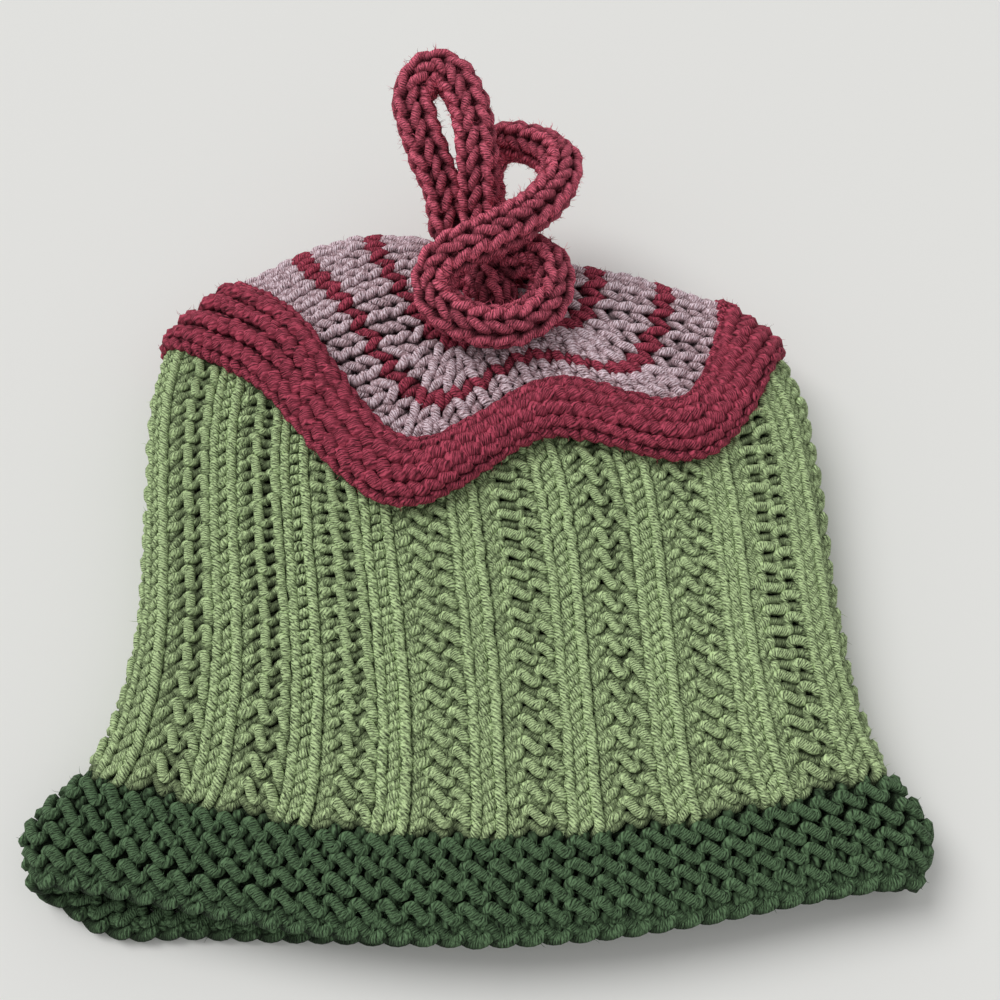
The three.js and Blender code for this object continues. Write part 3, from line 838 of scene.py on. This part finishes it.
def plied_wool(name, colour):
    """Worsted wool, spun in plies: matt, with a painted highlight on the fibres' tips,
    painted shade in the grooves between the plies and on wool that lies deep in the fabric."""
    found = bpy.data.materials.get(name)
    if found:
        return found
    yarns = bpy.context.scene.beanie_yarns
    material = bpy.data.materials.new(name)
    material.use_nodes = True
    tree = material.node_tree
    tree.nodes.clear()

    def sums(operation, *values):
        return add_node(tree, "ShaderNodeMath", dict(enumerate(values)),
                        operation=operation).outputs[0]

    # The yarn's own map: millimetres along it, and turns round it.
    place = add_node(tree, "ShaderNodeUVMap", uv_map="Yarn").outputs["UV"]
    parts = add_node(tree, "ShaderNodeSeparateXYZ", {"Vector": place}).outputs
    along, turn = parts["X"], parts["Y"]

    # Plies wind round the yarn, each a rounded ridge.  Their number and the yarn's girth
    # give how far along it one follows the next: 0.6 mm on this yarn.
    girth = math.pi * yarns.thickness / MM
    ply_step = girth / math.tan(PLY_ANGLE) / yarns.plies
    phase = sums("SUBTRACT", sums("MULTIPLY", turn, yarns.plies),
                 sums("MULTIPLY", along, 1 / ply_step))
    ply = sums("ABSOLUTE", sums("SINE", sums("MULTIPLY", phase, math.pi)))

    # Fibres of 0.03 mm are too fine to show, so they are drawn as streaks of a little less
    # than a ply's width, about 0.6 mm long.
    streak = add_node(tree, "ShaderNodeCombineXYZ", {
        "X": sums("MULTIPLY", phase, STREAKS_A_PLY),
        "Y": sums("MULTIPLY", along, STREAKS_A_MM)}).outputs[0]
    fibre = add_node(tree, "ShaderNodeTexNoise", {
        "Vector": streak, "Scale": 1.0, "Detail": 2.0, "Roughness": 0.65}).outputs["Fac"]
    spread = sums("MULTIPLY", sums("SUBTRACT", fibre, 0.5), FIBRE_SPREAD)
    height = sums("ADD", sums("MULTIPLY", ply, PLY_HEIGHT),
                  sums("ADD", spread, MEAN_HEIGHT))

    # Painted shade and light: wool deep in the fabric is painted darker and what stands out
    # of it lighter, as if by the light that reaches each.
    stand = add_node(tree, "ShaderNodeAttribute", attribute_name="stand").outputs["Fac"]
    depth_shade = add_node(tree, "ShaderNodeMapRange", {
        "Value": sums("ABSOLUTE", stand), "From Min": DEEP_SHADE[0], "From Max": OPEN_LIGHT[0],
        "To Min": DEEP_SHADE[1], "To Max": OPEN_LIGHT[1]},
        interpolation_type="SMOOTHSTEP").outputs["Result"]
    # Painted shade in the grooves and painted highlight on the tips: the ramp runs from a
    # darkened copy of the colour to a lightened one with a touch of white.
    dark = [level * GROOVE_SHADE for level in colour] + [1]
    light = [min(1, level * TIP_HIGHLIGHT + TIP_GLINT) for level in colour] + [1]
    ramp = add_node(tree, "ShaderNodeValToRGB", {"Fac": sums("MULTIPLY", height, depth_shade)})
    stops = ramp.color_ramp.elements
    stops[0].position, stops[0].color = RAMP_STOPS[0], dark
    stops[1].position, stops[1].color = RAMP_STOPS[2], light
    stops.new(RAMP_STOPS[1]).color = [*colour, 1]

    # Wool is keratin, IOR 1.54, and its fibres scatter nearly all light: rough, hardly any
    # gloss, and a faint sheen at the rims.
    bump = add_node(tree, "ShaderNodeBump", {
        "Height": height, "Distance": BUMP_DEPTH * MM, "Strength": 1.0}).outputs["Normal"]
    shader = add_node(tree, "ShaderNodeBsdfPrincipled", {
        "Base Color": ramp.outputs["Color"], "Roughness": 0.88, "IOR": 1.54,
        "Specular IOR Level": 0.2, "Sheen Weight": 0.12, "Sheen Roughness": 0.5,
        "Sheen Tint": light, "Normal": bump})
    add_node(tree, "ShaderNodeOutputMaterial", {"Surface": shader.outputs["BSDF"]})
    return material


# ---------------------------------------------------------------- operators
def dress(piece, slot, *nodes):
    """Hides the nodes of the frame that a piece stands for."""
    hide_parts(*nodes)


class BEANIE_OT_brim(bpy.types.Operator):
    """Knits the brim in ridges of garter stitch"""

    bl_idname = "beanie.brim"
    bl_label = "Knit Brim"

    def execute(self, context):
        yarns = context.scene.beanie_yarns
        row_height = (BRIM_TOP - CAST_ON) / (BRIM_ROUNDS + BRIM_JOIN)
        fabric = Fabric(lambda wale, row: tube_points(wale, CAST_ON + row * row_height),
                        WALES, *BRIM_SPAN)
        yarn = YarnMesh(yarns.chunky / MM / 2, seed=11)
        lay_ridge(yarn, fabric, EDGE_ROW, EDGE_RIDGE, row_height)
        for row in range(BRIM_ROUNDS):
            side = 1 if row % 2 else -1
            lay_ridge(yarn, fabric, row + 1, BRIM_RIDGE, row_height,
                      side * BRIM_SHIFT, side)
        cast_on(yarn, fabric)
        yarn.add_hairs(BRIM_HAIRS)
        piece = yarn.build("brim_wool", plied_wool("dark green worsted", yarns.dark_green))
        dress(piece, "dark_green_wool", "brim")
        return {"FINISHED"}


class BEANIE_OT_body(bpy.types.Operator):
    """Knits the body in ribs, in three stretches from the brim up"""

    bl_idname = "beanie.body"
    bl_label = "Knit Body"

    def execute(self, context):
        yarns = context.scene.beanie_yarns

        def surface(wale, row):
            top = read_named(CORNERS, CORNER_COLUMNS, wale, WALES)["up"] + WELT_COVER
            return tube_points(wale, BRIM_TOP + (top - BRIM_TOP) * row / BODY_ROUNDS)

        fabric = Fabric(surface, WALES, *BODY_SPAN)
        wool = plied_wool("sage green worsted", yarns.sage_green)
        for name, (first, last) in BODY_STRETCHES.items():
            yarn = YarnMesh(yarns.thickness / MM / 2, seed=first)
            for row in range(first, last):
                knit_body(yarn, fabric, row)
            yarn.add_hairs(STRETCH_HAIRS)
            dress(yarn.build(name, wool), "sage_green_wool", "body")
        return {"FINISHED"}


class BEANIE_OT_welt(bpy.types.Operator):
    """Knits the rolled welt, purl side out"""

    bl_idname = "beanie.welt"
    bl_label = "Knit Welt"

    def execute(self, context):
        yarns = context.scene.beanie_yarns
        fabric = Fabric(lambda bump, row: welt_points(bump * WALES / WELT_WALES,
                                                      row / WELT_ROUNDS),
                        WELT_WALES, 0, WELT_ROUNDS)
        yarn = YarnMesh(yarns.chunky / MM / 2, seed=21)
        for row in range(WELT_ROUNDS):
            lay_ridge(yarn, fabric, row + 0.5, WELT_RIDGE, WELT_ROUND, row / 2,
                      points=WELT_POINTS, fill=WELT_FILL)
        stitch = np.arange(LINING_POINTS * WELT_WALES) / LINING_POINTS
        for row in range(1, WELT_ROUNDS):
            lay_strand(yarn, fabric, stitch, np.full(len(stitch), float(row)),
                       np.full(len(stitch), LINING_STAND))
        yarn.add_hairs(WELT_HAIRS)
        piece = yarn.build("welt_wool", plied_wool("raspberry worsted", yarns.raspberry))
        dress(piece, "raspberry_wool", "welt")
        return {"FINISHED"}


class BEANIE_OT_crown(bpy.types.Operator):
    """Knits the five-sided crown, with two raspberry rounds in its lilac"""

    bl_idname = "beanie.crown"
    bl_label = "Knit Crown"

    def execute(self, context):
        yarns = context.scene.beanie_yarns
        fabric = Fabric(lambda wale, row: crown_points(wale, row / CROWN_ROUNDS), WALES,
                        *CROWN_SPAN)
        radius = yarns.chunky / MM / 2
        lilac, stripes = YarnMesh(radius, seed=31), YarnMesh(radius, seed=32)
        for row in range(CROWN_ROUNDS - 1):
            count = crown_stitches(row)
            yarn = stripes if row in CROWN_STRIPES or row > CROWN_TOP else lilac
            across, up, out = loop_course(np.full(count, KNIT), CROWN_ROUND, CROWN_LEAN)
            along, rise, depth = uneven(yarn.random, count)
            wale = crown_wales(row, across + HAND_ALONG * along, up)
            lay_strand(yarn, fabric, wale, row + 0.5 + up + HAND_UP * rise,
                       out + HAND_OUT * depth)
        lilac.add_hairs(LILAC_HAIRS)
        stripes.add_hairs(STRIPE_HAIRS)
        dress(lilac.build("crown_wool", plied_wool("lilac worsted", yarns.lilac)),
              "lilac_wool", "crown")
        raspberry = plied_wool("raspberry worsted", yarns.raspberry)
        dress(stripes.build("crown_stripes", raspberry), "raspberry_wool", "crown")
        return {"FINISHED"}


class BEANIE_OT_topknot(bpy.types.Operator):
    """Knits the two cords of the topknot, round and round in one strand each"""

    bl_idname = "beanie.topknot"
    bl_label = "Knit Topknot"

    def execute(self, context):
        yarns = context.scene.beanie_yarns
        # The topknot's raspberry is painted lighter, for the light that falls on it.
        wool = plied_wool("brushed raspberry worsted", yarns.lightened)
        cords = (("topknot_loop_wool", "topknot_loop", LOOP_ROUTE),
                 ("topknot_curl_wool", "topknot_curl", CURL_ROUTE),
                 ("topknot_foot_wool", "topknot_loop", FOOT_ROUTE))
        for seed, (name, node, route) in enumerate(cords, 41):
            surface, rounds = cord_surface(route)
            fabric = Fabric(surface, CORD_STITCHES, 0, rounds)
            yarn = YarnMesh(yarns.chunky / MM / 2, seed)
            count = int((rounds - 2 * CORD_HEM) * CORD_STITCHES)
            across, up, out = loop_course(np.full(count, KNIT), CORD_ROUND, CORD_LEAN,
                                          CORD_REACH)
            along, rise, depth = uneven(yarn.random, count)
            height = CORD_HEM + across / CORD_STITCHES + up + HAND_UP * rise
            lay_strand(yarn, fabric, across + HAND_ALONG * along, height,
                       out + HAND_OUT * depth, closed=False)
            # Painted shade: a core of yarn fills the cord so that its gaps look dark, and
            # laid at the middle it takes the painted shade of deep wool.
            core = YarnMesh(CORD_CORE, seed)
            reach = np.linspace(1, rounds - 1, CORE_POINTS * len(route))
            corners = np.arange(CORD_STITCHES)
            ring = surface(np.tile(corners, len(reach)), np.repeat(reach, CORD_STITCHES))
            ring = ring.reshape(len(reach), CORD_STITCHES, 3)
            line = ring.mean(axis=1)
            core.add(line, unit(ring[:, 0] - line), 0 * reach, closed=False)
            dress(core.build(name.replace("wool", "core"), wool), "raspberry_wool", node)
            yarn.add_hairs(int(CORD_HAIRS * rounds * CORD_ROUND))
            dress(yarn.build(name, wool), "raspberry_wool", node)
        return {"FINISHED"}


AIM = (5.7, -6.5, 20)  # what the camera aims at, from the middle of the hat's floor
FLOOR_SIDE = 4.0  # metres
SOFTBOX_PLACE = (-0.75, 0.5, 1.1)  # metres: behind the hat on the left, and above


class BEANIE_OT_stage(bpy.types.Operator):
    """Lays the floor, sets soft studio light and places the camera"""

    bl_idname = "beanie.stage"
    bl_label = "Set Stage"

    def execute(self, context):
        stage = context.scene.beanie_stage
        self.lay_floor(context, stage)
        self.set_light(context, stage)
        low, high = CAD_BOX
        middle = (low + high) / 2
        target = Vector((middle.x, middle.y, 0)) + Vector(AIM) * MM
        back = Vector((0, -math.cos(stage.elevation), math.sin(stage.elevation)))
        camera = bpy.data.objects.new("camera", bpy.data.cameras.new("camera"))
        camera.data.lens = stage.lens
        camera.data.sensor_width = 36
        camera.data.clip_start = 0.01
        camera.location = target + back * stage.distance
        camera.rotation_euler = (-back).to_track_quat("-Z", "Y").to_euler()
        context.scene.collection.objects.link(camera)
        context.scene.camera = camera
        return {"FINISHED"}

    def lay_floor(self, context, stage):
        half = FLOOR_SIDE / 2
        mesh = bpy.data.meshes.new("floor")
        mesh.from_pydata([(-half, -half, 0), (half, -half, 0), (half, half, 0),
                          (-half, half, 0)], [], [(0, 1, 2, 3)])
        # Matt painted board: even and pale, with no gloss, so that soft shadows show.
        material = bpy.data.materials.new("matt painted board")
        material.use_nodes = True
        shader = material.node_tree.nodes["Principled BSDF"]
        shader.inputs["Base Color"].default_value = [*stage.floor, 1]
        shader.inputs["Roughness"].default_value = 0.9
        mesh.materials.append(material)
        floor = bpy.data.objects.new("floor", mesh)
        context.scene.collection.objects.link(floor)

    def set_light(self, context, stage):
        world = bpy.data.worlds.new("studio")
        world.use_nodes = True
        background = world.node_tree.nodes["Background"]
        background.inputs["Color"].default_value = (1, 1, 1, 1)
        background.inputs["Strength"].default_value = stage.room
        context.scene.world = world
        context.scene.view_settings.view_transform = "Standard"
        data = bpy.data.lights.new("softbox", "SUN")
        data.angle = stage.softness
        data.energy = stage.softbox
        lamp = bpy.data.objects.new("softbox", data)
        lamp.location = SOFTBOX_PLACE
        lamp.rotation_euler = (-lamp.location).to_track_quat("-Z", "Y").to_euler()
        context.scene.collection.objects.link(lamp)


class BEANIE_PT_panel(bpy.types.Panel):
    """Lists the beanie's pieces and settings"""

    bl_idname = "BEANIE_PT_panel"
    bl_label = "Knot Beanie"
    bl_space_type = "VIEW_3D"
    bl_region_type = "UI"
    bl_category = "Knot Beanie"

    def draw(self, context):
        for group in (context.scene.beanie_yarns, context.scene.beanie_stage):
            box = self.layout.box()
            for name in group.__annotations__:
                box.prop(group, name)
        for operator in OPERATORS:
            self.layout.operator(operator.bl_idname)


OPERATORS = (BEANIE_OT_stage, BEANIE_OT_brim, BEANIE_OT_body, BEANIE_OT_welt,
             BEANIE_OT_crown, BEANIE_OT_topknot)
CLASSES = (BeanieYarns, BeanieStage, *OPERATORS, BEANIE_PT_panel)


def register():
    for cls in CLASSES:
        bpy.utils.register_class(cls)
    bpy.types.Scene.beanie_yarns = bpy.props.PointerProperty(type=BeanieYarns)
    bpy.types.Scene.beanie_stage = bpy.props.PointerProperty(type=BeanieStage)


def unregister():
    del bpy.types.Scene.beanie_stage
    del bpy.types.Scene.beanie_yarns
    for cls in reversed(CLASSES):
        bpy.utils.unregister_class(cls)


def check_tables():
    """Stops if the tables above don't put the brim where the frame has it."""
    wale, up = np.meshgrid(np.arange(WALES), np.linspace(0, BRIM_TOP, 10))
    brim = tube_points(wale.ravel(), up.ravel()) + ORIGIN
    low, high = (np.array(corner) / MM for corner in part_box("brim"))
    apart = np.concatenate([brim.min(axis=0) - HALF_WALL - low,
                            (brim.max(axis=0) + HALF_WALL - high)[:1]])
    apart[1] += HALF_WALL  # the wall ends at the cast-on edge
    if np.abs(apart).max() > TABLE_SLACK:
        raise ValueError("the hat's tables and the frame's brim lie apart")


def main():
    check_tables()
    register()
    bpy.ops.beanie.stage()
    bpy.ops.beanie.brim()
    bpy.ops.beanie.body()
    bpy.ops.beanie.welt()
    bpy.ops.beanie.crown()
    bpy.ops.beanie.topknot()


if __name__ == "__main__":
    main()
